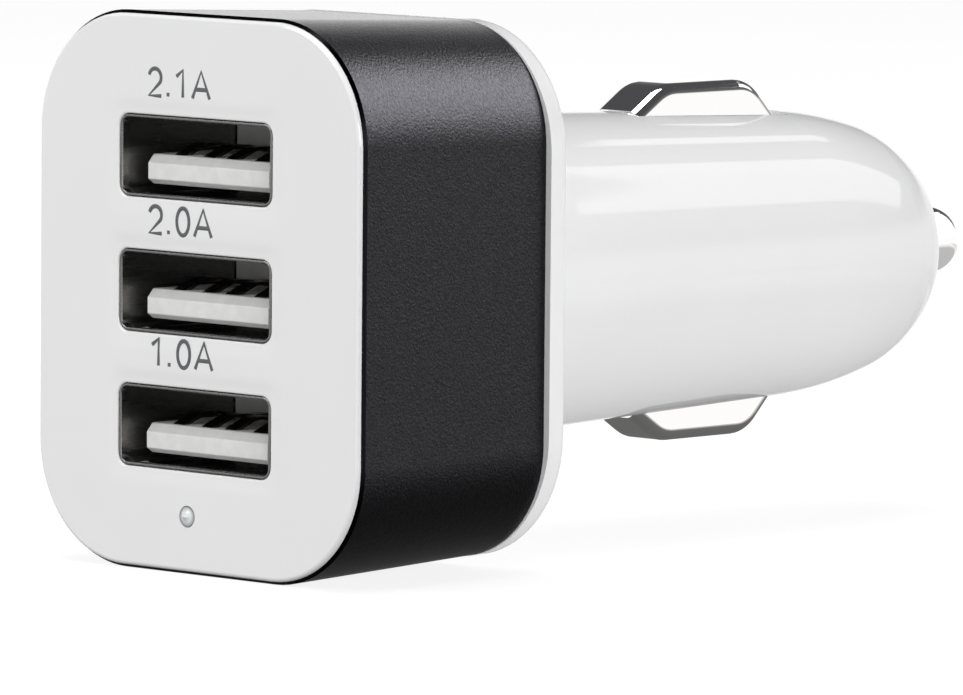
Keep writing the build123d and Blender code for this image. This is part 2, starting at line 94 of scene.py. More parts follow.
# Single-stroke figures, in units of their height: strokes, and the step to the next figure
FIGURES = {
    "0": ([arc(0.32, 0.5, 0.32, 0.5, 90, 450, 32)], 0.93),
    "1": ([[(0.0, 0.76), (0.34, 1.0), (0.34, 0.0)]], 0.85),
    "2": ([arc(0.32, 0.68, 0.32, 0.32, 165, -35, 16) + [(0.0, 0.0), (0.66, 0.0)]], 0.95),
    "A": ([[(0.0, 0.0), (0.45, 1.0), (0.9, 0.0)], [(0.15, 0.33), (0.75, 0.33)]], 1.0),
    ".": ([[(0.06, 0.0), (0.06, 0.14)]], 0.5),
}

# The rating over each port: its words, and the left end and base line of the print in millimetres
RATINGS = (("2.1A", -4.25, 12.05), ("2.0A", -4.15, 3.62), ("1.0A", -3.85, -4.5))

# The room's grey by height, from straight down to straight up
ROOM = (
    (-1.0, "#606060"),
    (-0.3, "#686868"),
    (-0.12, "#FFFFFF"),
    (0.1, "#FFFFFF"),
    (0.2, "#6E6E6E"),
    (0.5, "#4C4C4E"),
    (1.0, "#46464A"),
)

# What the lights face, in metres
BARREL = (0, 0.025, 0)
BESIDE_BARREL = (0.1, 0.025, 0)
HEAD = (0, -0.015, 0)
TIP = (0, 0.05, 0)

# The lights: place, the point that each faces, width and height, the name of its power in the stage's group,
# and the pieces that it is kept to, if any. The barrel mirrors the softbox and, over it, the strip.
LIGHTS = {
    "top_light": ((-0.05, 0.0, 0.75), BARREL, 0.5, 0.5, "top", ()),
    "face_light": ((-0.3, -0.6, 0.3), HEAD, 0.4, 0.4, "fill", ()),
    "flank_light": ((0.8, -0.25, 0.14), BARREL, 0.7, 0.28, "flank", ()),
    "bounce_light": (
        (0.1, 0.025, -0.25), BESIDE_BARREL, 2.4, 2.4, "bounce", ("rear_housing", "centre_contact")
    ),
    "softbox": ((0.1685, 0.738, 0.359), (0, 0.738, 0), 0.526, 0.289, "softbox", ()),
    "strip": ((-0.139, 0.5235, 0.393), (0, 0.5235, 0), 0.083, 0.055, "strip", ()),
    "corner_light": ((0.25, 0.358, 0.25), HEAD, 0.466, 0.32, "corner", ("head_band",)),
    "back_wall": ((-0.53, 0.811, 0.24), HEAD, 0.73, 0.5, "wall", ("head_band",)),
    "tip_card": ((0.2, 0.48, 0.275), TIP, 0.62, 0.5, "card", ("centre_contact",)),
}


def length(name, description, millimetres):
    """A length that a user may change."""
    return FloatProperty(
        name=name, description=description, default=millimetres * MM, precision=5, unit="LENGTH"
    )


def angle(name, description, degrees):
    """An angle that a user may change."""
    return FloatProperty(
        name=name, description=description, default=math.radians(degrees), subtype="ANGLE"
    )


def optic(name, description, millimetres):
    """A size inside the camera that a user may change."""
    return FloatProperty(name=name, description=description, default=millimetres, unit="CAMERA")


def power(name, description, watts):
    """A light's power that a user may change."""
    return FloatProperty(name=name, description=description, default=watts, precision=4, unit="POWER")


def strength(name, description, value):
    """A glow that a user may change."""
    return FloatProperty(name=name, description=description, default=value)


def tint(name, description, code):
    """A colour that a user may change, as an sRGB hex value."""
    return StringProperty(name=name, description=description, default=code, maxlen=7)


class ChargerHead(bpy.types.PropertyGroup):
    """Sizes of the white face and the black band round it"""

    face_radius: length("Face corner", "Radius of the face's corners", 7.4)
    face_round: length("Face edge", "Rounding of the face's outer edge", 0.25)
    plate: length("Plate", "Thickness of the face", 2.2)
    skirt_inset: length("Skirt inset", "Step from the face's edge in to its skirt", 1.35)
    skirt_wall: length("Skirt wall", "Thickness of the face's skirt", 1.1)
    window_width: length("Window width", "Width of a port window", 13.4)
    window_height: length("Window height", "Height of a port window", 5.12)
    window_radius: length("Window corner", "Radius of a window's corners", 0.85)
    window_round: length("Window edge", "Rounding of a window's front edge", 0.1)
    dish_width: length("Dish width", "Width of the soft dish round a window", 1.0)
    dish_depth: length("Dish depth", "Depth of the soft dish round a window", 0.05)
    lens_hole: length("Lens hole", "Radius of the hole for the indicator", 0.67)
    band_radius: length("Band corner", "Radius of the band's corners", 7.6)
    band_wall: length("Band wall", "Thickness of the band", 1.45)
    band_chamfer: length("Band chamfer", "Polished chamfer on the band's front edge", 0.2)
    band_taper_x: length("Band taper, width", "How far each side leans in at the rear", 0.4)
    band_taper_z: length("Band taper, height", "How far top and bottom lean in at the rear", 0.6)


class ChargerPorts(bpy.types.PropertyGroup):
    """Sizes of the ports and the ratings over them"""

    wall: length("Mouth wall", "Thickness of a port's metal mouth", 0.2)
    corner: length("Mouth corner", "Outer corner radius of a port's mouth", 0.7)
    lip_width: length("Lip width", "Width of the lip that stands in the window", 13.24)
    lip_height: length("Lip height", "Height of the lip that stands in the window", 5.04)
    lip_depth: length("Lip depth", "From the lip's front edge back to the mouth's tube", 0.75)
    lip_slope: length("Lip slope", "Length of the slope from the lip out to the tube", 0.35)
    lip_round: length("Lip edge", "Rounding of the lip's front edge", 0.06)
    tongue_top: length("Tongue top slope", "Drop of the nose's upper bevel", 0.5)
    tongue_low: length("Tongue low slope", "Rise of the nose's lower bevel", 0.34)
    tongue_nose: length("Tongue nose", "Length of the nose's bevels", 0.7)
    tongue_thick: length("Tongue thickness", "Thickness of the tongue", 1.84)
    tongue_side: length("Tongue side gap", "Free space beside the tongue", 0.7)
    tongue_end: length("Tongue end bevel", "Width of the nose's bevels at its ends", 0.25)
    tongue_edge: length("Tongue edges", "Rounding of the nose's edges", 0.08)
    base: length("Insulator base", "Thickness of the block behind the tongue", 1.5)
    strip_width: length("Contact width", "Width of a contact strip", 1.0)
    strip_thick: length("Contact thickness", "Thickness of a contact strip", 0.2)
    strip_rise: length("Contact rise", "How far a strip bows up over the tongue", 0.45)
    strip_dip: length("Contact dip", "How far a strip's front end dips into the tongue", 0.35)
    strip_lead: length("Contact lead", "From a strip's front end to the tongue's top", 0.8)
    strip_bow: length("Contact bow", "From a strip's front end to the crest of its bow", 2.0)
    strip_crest: length("Contact crest", "Length of the bow's crest", 1.2)
    strip_fall: length("Contact fall", "Length of the bow's fall back to the tongue", 2.3)
    strip_bend: length("Contact bend", "Rounding of a strip's bends", 0.3)
    letter_height: length("Letter height", "Height of the printed ratings", 1.66)
    letter_stroke: length("Letter stroke", "Width of the printed strokes", 0.26)
    letter_thick: length("Print thickness", "Thickness of the printed ink", 0.03)


class ChargerSprings(bpy.types.PropertyGroup):
    """Sizes of the springs behind the contacts"""

    wire: length("Wire", "Diameter of the coil's wire", 0.55)
    turns: IntProperty(name="Turns", description="Turns of the coil", default=6, min=1)
    finger_width: length("Finger width", "Width of a sprung finger", 2.4)
    finger_thick: length("Finger thickness", "Thickness of a sprung finger", 0.3)
    finger_bend: length("Finger bend", "Radius of a finger's bends", 0.6)
    finger_foot: length("Finger foot", "Length of a finger's foot on the board", 4.4)
    finger_knee: length("Finger knee", "From the foot's start along to the knee", 2.8)
    finger_rise: length("Finger rise", "Height of the knee above the barrel's axis", 5.4)
    finger_crest: length("Finger crest", "From the foot's start along to the crest", 4.6)
    finger_flat: length("Finger flat", "Length of the crest", 1.2)
    finger_hook: length("Finger hook", "Length of the hook behind the crest", 1.0)
    finger_drop: length("Finger drop", "Drop of the hook", 1.2)


class ChargerFinish(bpy.types.PropertyGroup):
    """Colours of the finishes"""

    white: tint("White plastic", "Moulded body and face", "#F1F1F1")
    black: tint("Black anodising", "Darker grains of the band round the head", "#232326")
    grain: tint("Anodising grain", "Lighter grains of the band", "#363639")
    chamfer: tint("Chamfer", "Cut front edge of the band", "#161618")
    plate: tint("Bright plating", "Ground contacts and centre contact", "#F8F7F5")
    # The port plating's grey is darkened as painted shade for the inside of the ports
    mouth: tint("Port plating", "Metal mouths of the ports", "#767574")
    tongue: tint("Tongue", "Insulators of the ports", "#ECECEA")
    # The contact plating is darkened to a brownish grey as painted shade inside the ports
    gold: tint("Contact plating", "Contact strips of the ports", "#55504A")
    ink: tint("Print", "Ratings on the face", "#5F6062")
    clear: tint("Clear plastic", "Indicator light pipe", "#F4F7F8")
    floor: tint("Floor", "Studio floor", "#848484")
    # The light pipe's rim is darkened as painted shade
    lens_shade_rim: length("Lens rim", "Radius at which the light pipe is darkest", 0.72)


class ChargerStage(bpy.types.PropertyGroup):
    """Camera and light"""

    azimuth: angle("Azimuth", "Turn of the camera round the plug", 44.05)
    elevation: angle("Elevation", "Height of the camera above the horizon", 5.2)
    roll: angle("Roll", "Tilt of the camera about its own line of sight", 0.49)
    distance: length("Distance", "From the camera to what it looks at", 600)
    target_y: length("Target along the barrel", "Point the camera looks at", 6.86)
    target_z: length("Target height", "Point the camera looks at", -4.65)
    focal_length: optic("Focal length", "Lens of the camera", 356.5)
    sensor: optic("Sensor", "Width of the camera's sensor", 36)
    room: strength("Room", "Strength of the room's own light", 1.05)
    glow: strength("Floor glow", "Glow that the floor shows to the camera", 0.86)
    top: power("Top light", "Power of the overhead light", 3.6)
    fill: power("Face light", "Power of the light on the face", 2.5)
    flank: power("Flank light", "Power of the light on the flank", 3.6)
    softbox: power("Softbox", "Power of the mirrored softbox", 0.58)
    strip: power("Strip", "Power of the mirrored thin light", 0.0157)
    corner: power("Corner light", "Power of the light on the band's corner", 3.3)
    wall: power("Back wall", "Power of the light behind the band", 1.5)
    card: power("Tip card", "Power of the card over the centre contact", 1.17)
    bounce: power("Bounce", "Power of the light thrown back up under the barrel", 7.0)


def linear(code):
    """An sRGB hex value as linear RGBA."""
    parts = [int(code[k : k + 2], 16) / 255 for k in (1, 3, 5)]
    return [p / 12.92 if p <= 0.04045 else ((p + 0.055) / 1.055) ** 2.4 for p in parts] + [1.0]


def add(tree, kind, inputs=None, **settings):
    """Adds a node with its settings, and sets or links its inputs."""
    made = tree.nodes.new(kind)
    for key, value in settings.items():
        setattr(made, key, value)
    for key, value in (inputs or {}).items():
        if isinstance(value, bpy.types.NodeSocket):
            tree.links.new(value, made.inputs[key])
        else:
            made.inputs[key].default_value = value
    return made


def blank(name, inputs):
    """A new material: its node tree, its shader and the Object coordinates."""
    material = bpy.data.materials.new(name)
    material.use_nodes = True
    tree = material.node_tree
    shader = tree.nodes["Principled BSDF"]
    for key, value in inputs.items():
        shader.inputs[key].default_value = value
    place = add(tree, "ShaderNodeTexCoord").outputs["Object"]
    return material, tree, shader, place


def per_mm(size):
    """Texture scale that gives a pattern of that size in millimetres."""
    return 1 / (size * MM)


def gloss_plastic(colours):
    """Injection-moulded ABS from a polished mould: soft white, with a clear gloss and a faint orange peel."""
    material, tree, shader, place = blank(
        "moulded_gloss_abs", {"Base Color": linear(colours.white), "IOR": 1.53}
    )
    cloud = add(tree, "ShaderNodeTexNoise", {"Vector": place, "Scale": per_mm(9), "Detail": 2.0})
    shade = add(tree, "ShaderNodeValToRGB", {"Fac": cloud.outputs["Fac"]})
    shade.color_ramp.elements[0].color = linear("#EDEDEE")
    shade.color_ramp.elements[1].color = linear(colours.white)
    tree.links.new(shade.outputs["Color"], shader.inputs["Base Color"])
    fine = add(tree, "ShaderNodeTexNoise", {"Vector": place, "Scale": per_mm(2.5), "Detail": 3.0})
    gloss = add(
        tree,
        "ShaderNodeMapRange",
        {"Value": fine.outputs["Fac"], "To Min": 0.03, "To Max": 0.06},
    )
    tree.links.new(gloss.outputs["Result"], shader.inputs["Roughness"])
    peel = add(
        tree,
        "ShaderNodeBump",
        {"Height": fine.outputs["Fac"], "Strength": 0.04, "Distance": 0.02 * MM},
    )
    tree.links.new(peel.outputs["Normal"], shader.inputs["Normal"])
    return material


def blasted_aluminium(colours):
    """Bead-blasted, black-anodised aluminium: near black, with a satin sheen and an even fine grain.

    The grain is drawn about twice as coarse as blasting leaves it, because a finer one wouldn't show.
    """
    material, tree, shader, place = blank(
        "blasted_black_anodising", {"Base Color": linear(colours.black), "Metallic": 1.0}
    )
    grit = add(tree, "ShaderNodeTexVoronoi", {"Vector": place, "Scale": per_mm(0.1)})
    grain = add(tree, "ShaderNodeTexNoise", {"Vector": place, "Scale": per_mm(0.16), "Detail": 3.0})
    shade = add(tree, "ShaderNodeValToRGB", {"Fac": grit.outputs["Color"]})
    shade.color_ramp.elements[0].color = linear(colours.black)
    shade.color_ramp.elements[1].color = linear(colours.grain)
    tree.links.new(shade.outputs["Color"], shader.inputs["Base Color"])
    satin = add(
        tree,
        "ShaderNodeMapRange",
        {"Value": grain.outputs["Fac"], "To Min": 0.26, "To Max": 0.38},
    )
    tree.links.new(satin.outputs["Result"], shader.inputs["Roughness"])
    pits = add(
        tree,
        "ShaderNodeBump",
        {"Height": grain.outputs["Fac"], "Strength": 0.75, "Distance": 0.04 * MM},
    )
    tree.links.new(pits.outputs["Normal"], shader.inputs["Normal"])
    return material


def polished_chamfer(colours):
    """Diamond-cut chamfer under black anodising: smooth and dark, its gloss a little clouded."""
    material, tree, shader, place = blank(
        "cut_black_chamfer", {"Base Color": linear(colours.chamfer), "Metallic": 1.0}
    )
    cloud = add(tree, "ShaderNodeTexNoise", {"Vector": place, "Scale": per_mm(0.8)})
    gloss = add(
        tree,
        "ShaderNodeMapRange",
        {"Value": cloud.outputs["Fac"], "To Min": 0.16, "To Max": 0.26},
    )
    tree.links.new(gloss.outputs["Result"], shader.inputs["Roughness"])
    return material


def streaked_metal(name, code, rough, streak, stretch, bump=0.03):
    """Plated or drawn metal: streaks of one size run along an axis and vary its gloss.

    rough is its least and most roughness, and streak the streaks' width in millimetres.
    """
    material, tree, shader, place = blank(name, {"Base Color": linear(code), "Metallic": 1.0})
    turned = add(tree, "ShaderNodeMapping", {"Vector": place, "Scale": stretch})
    streaks = add(
        tree,
        "ShaderNodeTexNoise",
        {"Vector": turned.outputs["Vector"], "Scale": per_mm(streak), "Detail": 4.0},
    )
    gloss = add(
        tree,
        "ShaderNodeMapRange",
        {"Value": streaks.outputs["Fac"], "To Min": rough[0], "To Max": rough[1]},
    )
    tree.links.new(gloss.outputs["Result"], shader.inputs["Roughness"])
    relief = add(
        tree,
        "ShaderNodeBump",
        {"Height": streaks.outputs["Fac"], "Strength": bump, "Distance": 0.02 * MM},
    )
    tree.links.new(relief.outputs["Normal"], shader.inputs["Normal"])
    return material


def speckled_solid(name, dark, light, speck, rough, bump=0.1):
    """Moulded or pressed matter: two near colours in specks of one size, with a dull to silky gloss.

    speck is the specks' size in millimetres, and rough its least and most roughness.
    """
    material, tree, shader, place = blank(name, {"Base Color": linear(light)})
    specks = add(tree, "ShaderNodeTexNoise", {"Vector": place, "Scale": per_mm(speck), "Detail": 5.0})
    shade = add(tree, "ShaderNodeValToRGB", {"Fac": specks.outputs["Fac"]})
    shade.color_ramp.elements[0].position = 0.35
    shade.color_ramp.elements[0].color = linear(dark)
    shade.color_ramp.elements[1].position = 0.65
    shade.color_ramp.elements[1].color = linear(light)
    tree.links.new(shade.outputs["Color"], shader.inputs["Base Color"])
    gloss = add(
        tree,
        "ShaderNodeMapRange",
        {"Value": specks.outputs["Fac"], "To Min": rough[0], "To Max": rough[1]},
    )
    tree.links.new(gloss.outputs["Result"], shader.inputs["Roughness"])
    relief = add(
        tree,
        "ShaderNodeBump",
        {"Height": specks.outputs["Fac"], "Strength": bump, "Distance": 0.02 * MM},
    )
    tree.links.new(relief.outputs["Normal"], shader.inputs["Normal"])
    return material


def clear_acrylic(colours):
    """Clear acrylic light pipe: a bright core, a rim darkened as painted shade for the dark bore seen through
    its edge, and a faint milky cloud.
    """
    material, tree, shader, place = blank(
        "clear_acrylic",
        {"Base Color": linear(colours.clear), "IOR": 1.49, "Transmission Weight": 0.1},
    )
    low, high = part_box("indicator_lens")
    offset = add(tree, "ShaderNodeVectorMath", {0: place, 1: (low + high) / 2}, operation="SUBTRACT")
    across = add(
        tree, "ShaderNodeVectorMath", {0: offset.outputs["Vector"], 1: (1, 0, 1)}, operation="MULTIPLY"
    )
    radius = add(tree, "ShaderNodeVectorMath", {0: across.outputs["Vector"]}, operation="LENGTH")
    rim_shade = add(
        tree,
        "ShaderNodeMapRange",
        {"Value": radius.outputs["Value"], "From Max": colours.lens_shade_rim},
    )
    # Painted shade: the colour grades from the pipe's near white to dark grey towards its rim, for the bore
    # seen through it
    shade = add(tree, "ShaderNodeValToRGB", {"Fac": rim_shade.outputs["Result"]})
    shade.color_ramp.elements[0].position = 0.5
    shade.color_ramp.elements[0].color = linear(colours.clear)
    shade.color_ramp.elements[1].color = linear("#5E6163")
    tree.links.new(shade.outputs["Color"], shader.inputs["Base Color"])
    cloud = add(tree, "ShaderNodeTexNoise", {"Vector": place, "Scale": per_mm(0.6), "Detail": 2.0})
    gloss = add(
        tree,
        "ShaderNodeMapRange",
        {"Value": cloud.outputs["Fac"], "To Min": 0.03, "To Max": 0.12},
    )
    tree.links.new(gloss.outputs["Result"], shader.inputs["Roughness"])
    return material


def body_plastic(context):
    """The white plastic that the face and the housing share."""
    return bpy.data.materials.get("moulded_gloss_abs") or gloss_plastic(context.scene.charger_finish)


def clear_hands():
    """Leaves edit mode and selects nothing."""
    if bpy.context.mode != "OBJECT":
        bpy.ops.object.mode_set(mode="OBJECT")
    bpy.ops.object.select_all(action="DESELECT")


def take(piece):
    """Selects one piece and nothing else."""
    clear_hands()
    piece.select_set(True)
    bpy.context.view_layer.objects.active = piece


def start(name, primitive, **settings):
    """Adds a primitive under a piece's name, puts its place in its mesh and opens it for editing."""
    clear_hands()
    primitive(**settings)
    piece = bpy.context.active_object
    piece.name = piece.data.name = name
    bpy.ops.object.transform_apply(location=True, rotation=True, scale=True)
    bpy.ops.object.mode_set(mode="EDIT")
    bpy.ops.mesh.select_mode(type="VERT")
    return piece


def pick(kind, test):
    """Selects the faces, edges or vertices of the piece in hand that pass a test."""
    bpy.ops.mesh.select_mode(type=kind)
    bpy.ops.mesh.select_all(action="DESELECT")
    data = bpy.context.edit_object.data
    mesh = bmesh.from_edit_mesh(data)
    found = [p for p in {"VERT": mesh.verts, "EDGE": mesh.edges, "FACE": mesh.faces}[kind] if test(p)]
    if not found:
        raise RuntimeError(f"nothing to select on {data.name}")
    for part in found:
        part.select_set(True)
    mesh.select_flush_mode()
    bmesh.update_edit_mesh(data)


def at(part, axis, place, slack=HAIR):
    """Whether every corner of a face or an edge lies at one place along an axis."""
    return all(abs(v.co[axis] - place) < slack for v in part.verts)


def runs(edge, axis):
    """Whether an edge lies along an axis."""
    return abs((edge.verts[1].co - edge.verts[0].co).normalized()[axis]) > 0.999


def middle(part):
    """The mean of an edge's corners."""
    return (part.verts[0].co + part.verts[1].co) / 2


def push(x=0.0, y=0.0, z=0.0):
    """Extrudes what is selected by a step."""
    bpy.ops.mesh.extrude_region_move(TRANSFORM_OT_translate={"value": (x, y, z)})


def slab(name, low, high, radius, segments=16):
    """A block between two corners, with the edges along the barrel rounded."""
    low, high = Vector(low), Vector(high)
    piece = start(
        name, bpy.ops.mesh.primitive_cube_add, size=1, location=(low + high) / 2, scale=high - low
    )
    pick("EDGE", lambda e: runs(e, Y))
    bpy.ops.mesh.bevel(offset=radius, segments=segments, affect="EDGES")
    return piece


def modify(piece, kind, **settings):
    """Puts a modifier on a piece and applies it."""
    take(piece)
    modifier = piece.modifiers.new(kind.title(), kind)
    for key, value in settings.items():
        setattr(modifier, key, value)
    bpy.ops.object.modifier_apply(modifier=modifier.name)


def cut(piece, cutter):
    """Takes one piece away from another."""
    modify(piece, "BOOLEAN", operation="DIFFERENCE", object=cutter, solver="EXACT")
    bpy.data.objects.remove(cutter)


def edit(piece):
    """Opens a piece for editing."""
    take(piece)
    bpy.ops.object.mode_set(mode="EDIT")


def settle(piece, look, body, replaced=(), smooth=35.0):
    """Shades a piece, gives it its finish and joins it to the frame."""
    take(piece)
    bpy.ops.object.shade_smooth_by_angle(angle=math.radians(smooth))
    modify(piece, "WEIGHTED_NORMAL", keep_sharp=True, weight=100)
    if look is not None:
        piece.data.materials.append(look)
    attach(piece, body)
    if replaced:
        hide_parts(*replaced)
    return piece


def strip(name, points, width, thick, bend):
    """A bent metal strip: an edge drawn from point to point, its bends rounded, then thickened."""
    points = [Vector(p) for p in points]
    piece = start(name, bpy.ops.mesh.primitive_plane_add, size=width, location=points[0])
    bpy.ops.transform.resize(value=(1, 0, 1))
    bpy.ops.mesh.remove_doubles(threshold=width / 100)
    for here, there in zip(points, points[1:]):
        push(*(there - here))
    pick("EDGE", lambda e: runs(e, X) and len(e.link_faces) == 2)
    bpy.ops.mesh.bevel(offset=bend, segments=4, affect="EDGES", clamp_overlap=True)
    modify(piece, "SOLIDIFY", thickness=thick, offset=0.0, use_even_offset=True)
    return piece


def dress(look, *names):
    """Gives CAD nodes their finish."""
    for name in names:
        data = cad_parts[name].data
        data.materials.clear()
        data.materials.append(look)


class CHARGER_OT_face(bpy.types.Operator):
    """Models the white face: plate, lip over the band, skirt, windows and the indicator's hole"""

    bl_idname = "charger.face"
    bl_label = "Face"

    def execute(self, context):
        head = context.scene.charger_head
        look = body_plastic(context)
        low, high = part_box("front_cover")
        front, lip = low.y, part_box("head_sleeve")[0].y
        piece = slab("face_cover", low, (high.x, lip, high.z), head.face_radius, segments=20)
        pick("EDGE", lambda e: at(e, Y, front))
        bpy.ops.mesh.bevel(offset=head.face_round, segments=5, affect="EDGES")
        pick("FACE", lambda f: at(f, Y, lip))
        bpy.ops.mesh.inset(thickness=head.skirt_inset)
        push(y=high.y - lip)
        bpy.ops.mesh.inset(thickness=head.skirt_wall)
        push(y=front + head.plate - high.y)
        for port in PORTS:
            cut(piece, self.window(head, port, front))
        lens_low, lens_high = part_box("indicator_lens")
        start(
            "hole",
            bpy.ops.mesh.primitive_cylinder_add,
            vertices=40,
            radius=head.lens_hole,
            depth=4 * head.plate,
            location=((lens_low.x + lens_high.x) / 2, front, (lens_low.z + lens_high.z) / 2),
            rotation=(math.pi / 2, 0, 0),
        )
        cut(piece, bpy.context.edit_object)
        settle(piece, look, "body", ("front_cover",))
        return {"FINISHED"}

    def window(self, head, port, front):
        """The solid that cuts a window: straight inside, flared by the rim and the soft dish."""
        low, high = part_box(f"port_{port}_shell")
        x, z = (low.x + high.x) / 2, (low.z + high.z) / 2
        half = Vector((head.window_width / 2, 0, head.window_height / 2))
        rim = front + head.dish_depth + head.window_round
        deep = front + 2 * head.plate
        centre = Vector((x, 0, z))
        cutter = slab(
            "window",
            centre - half + Vector((0, rim, 0)),
            centre + half + Vector((0, deep, 0)),
            head.window_radius,
            segments=8,
        )
        pick("FACE", lambda f: at(f, Y, rim))
        turns = [math.pi / 2 * k / ROUND_STEPS for k in range(1, ROUND_STEPS + 1)]
        rings = [
            (head.window_round * (1 - math.cos(t)), rim - head.window_round * math.sin(t)) for t in turns
        ]
        for k in range(1, DISH_STEPS + 1):
            share = k / DISH_STEPS
            rise = share * share * (3 - 2 * share)  # level at both ends
            rings.append(
                (head.window_round + head.dish_width * share, front + head.dish_depth * (1 - rise))
            )
        rings.append((rings[-1][0], front - head.plate))
        wide, here = 0.0, rim
        for offset, place in rings:
            push(y=place - here)
            bpy.ops.transform.resize(
                value=((half.x + offset) / (half.x + wide), 1, (half.z + offset) / (half.z + wide))
            )
            wide, here = offset, place
        return cutter


class CHARGER_OT_band(bpy.types.Operator):
    """Models the black metal band round the head, narrower at its rear, with a cut chamfer in front"""

    bl_idname = "charger.band"
    bl_label = "Band"

    def execute(self, context):
        head = context.scene.charger_head
        colours = context.scene.charger_finish
        low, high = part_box("head_sleeve")
        size = high - low
        piece = slab("head_band", low, high, head.band_radius, segments=20)
        pick("FACE", lambda f: at(f, Y, high.y))
        bpy.ops.transform.resize(
            value=(1 - 2 * head.band_taper_x / size.x, 1, 1 - 2 * head.band_taper_z / size.z)
        )
        bpy.ops.mesh.delete(type="ONLY_FACE")
        pick("FACE", lambda f: at(f, Y, low.y))
        bpy.ops.mesh.delete(type="ONLY_FACE")
        modify(piece, "SOLIDIFY", thickness=head.band_wall, offset=-1.0, use_even_offset=True)
        piece.data.materials.append(blasted_aluminium(colours))
        piece.data.materials.append(polished_chamfer(colours))
        edit(piece)
        pick("EDGE", lambda e: at(e, Y, low.y, head.band_wall / 4) and self.outer(e))
        bpy.ops.mesh.bevel(offset=head.band_chamfer, segments=1, affect="EDGES")
        piece.active_material_index = 1
        bpy.ops.object.material_slot_assign()
        settle(piece, None, "body", ("head_sleeve",))
        return {"FINISHED"}

    def outer(self, edge):
        """Whether an edge borders the outer side of the band."""
        out = middle(edge)
        out.y = 0
        return any(f.normal.dot(out.normalized()) > 0.5 for f in edge.link_faces)


